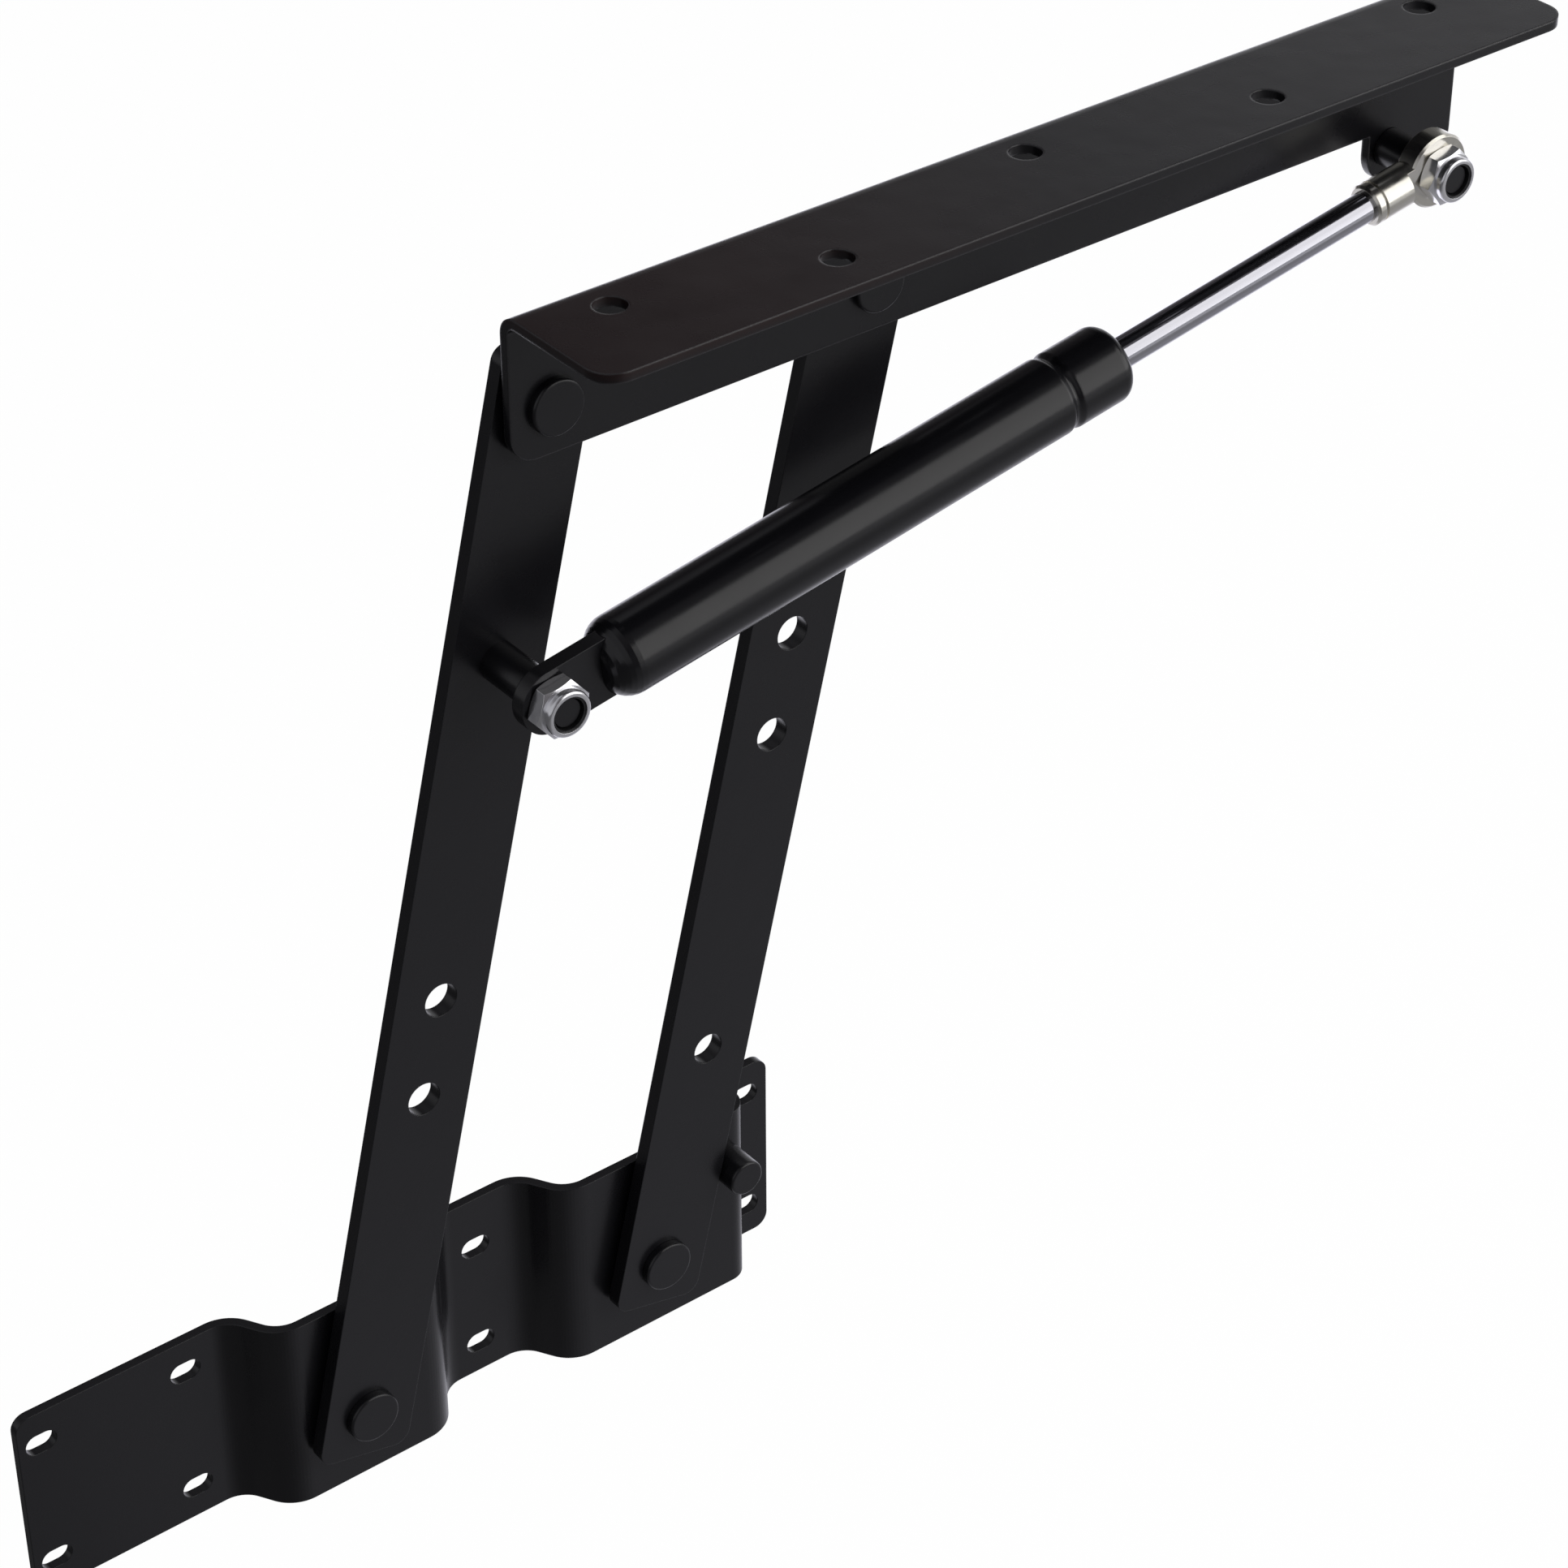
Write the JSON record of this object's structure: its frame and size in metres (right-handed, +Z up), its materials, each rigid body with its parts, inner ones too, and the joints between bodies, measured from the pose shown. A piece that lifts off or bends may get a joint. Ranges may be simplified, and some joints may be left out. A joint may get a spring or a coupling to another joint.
{
  "type": "lift top table mechanism",
  "caption": "Parallel-arm lift mechanism for a table top: bent wall bracket, leaning flat arms, angle rail with screw holes, and a gas spring between an arm and the rail.",
  "frame": {"origin": "centre of the four front screw slots, on the back face of the base bracket, where it meets the wall of the table", "axes": "+X along the rail and the bracket, from the front end to the stud tab; +Y into the wall, so the viewer and the gas spring are toward -Y; +Z up, out of the rail's top face"},
  "size_m": [0.4298, 0.061, 0.3164],
  "materials": {
    "black_steel": "black semi-gloss powder coat",
    "black_pins": "black coated rivets, washers and studs",
    "black_tube": "smooth gloss black paint",
    "zinc": "bright zinc plating",
    "nickel": "warm nickel plating, turned",
    "chrome_rod": "ground and polished rod",
    "nylon": "black nylon",
    "guide_metal": "plain turned",
    "piston_metal": "plain turned",
    "seal_rubber": "plain"
  },
  "bodies": {
    "base": {"base_bracket": "black_steel", "base_front_rivet": "black_pins", "base_rear_rivet": "black_pins", "base_front_washer": "black_pins", "base_rear_washer": "black_pins", "stop_pin": "black_pins"},
    "front_link": {"front_arm": "black_steel", "lower_stud": "black_pins", "lower_lock_nut": "zinc", "lower_nut_insert": "nylon"},
    "rear_link": {"rear_arm": "black_steel"},
    "rail": {"top_rail": "black_steel", "top_front_rivet": "black_pins", "top_rear_rivet": "black_pins", "top_front_washer": "black_pins", "top_rear_washer": "black_pins", "upper_stud_tail": "black_pins"},
    "cylinder": {"gas_tube": "black_tube", "cylinder_eye": "black_steel", "rod_guide": "guide_metal", "rod_seal": "seal_rubber", "seal_backing": "zinc"},
    "rod": {"piston_rod": "chrome_rod", "piston": "piston_metal", "piston_ring": "seal_rubber", "piston_nut": "zinc", "rod_end_eye": "nickel", "upper_stud": "black_pins", "upper_lock_nut": "zinc", "upper_nut_insert": "nylon"}
  },
  "joints": [
    {"name": "lift", "type": "hinge", "parent": "base", "child": "front_link", "pos_m": [0.05999, -0.019, -0.0045], "axis": [0, -1, 0], "range_deg": [0, 85]},
    {"name": "rear_link_pivot", "type": "hinge", "parent": "base", "child": "rear_link", "pos_m": [0.15099, -0.019, -0.0045], "axis": [0, -1, 0], "range_deg": [0, 85.5]},
    {"name": "rail_pivot", "type": "hinge", "parent": "front_link", "child": "rail", "pos_m": [0.12395, -0.019, 0.26193], "axis": [0, -1, 0], "range_deg": [-85.5, 0]},
    {"name": "cylinder_pivot", "type": "hinge", "parent": "front_link", "child": "cylinder", "pos_m": [0.10878, -0.04, 0.19873], "axis": [0, -1, 0], "range_deg": [-94, 0]},
    {"name": "rod_slide", "type": "slide", "parent": "cylinder", "child": "rod", "axis": [0.9857, 0, 0.1685], "range_m": [-0.0815, 0]}
  ],
  "couplings": [
    {"joint": "rear_link_pivot", "follows": "lift", "ratio": 1},
    {"joint": "rail_pivot", "follows": "lift", "ratio": -1},
    {"joint": "cylinder_pivot", "follows": "lift", "ratio": -1.1003},
    {"joint": "rod_slide", "follows": "lift", "m_per_rad": -0.054416}
  ]
}
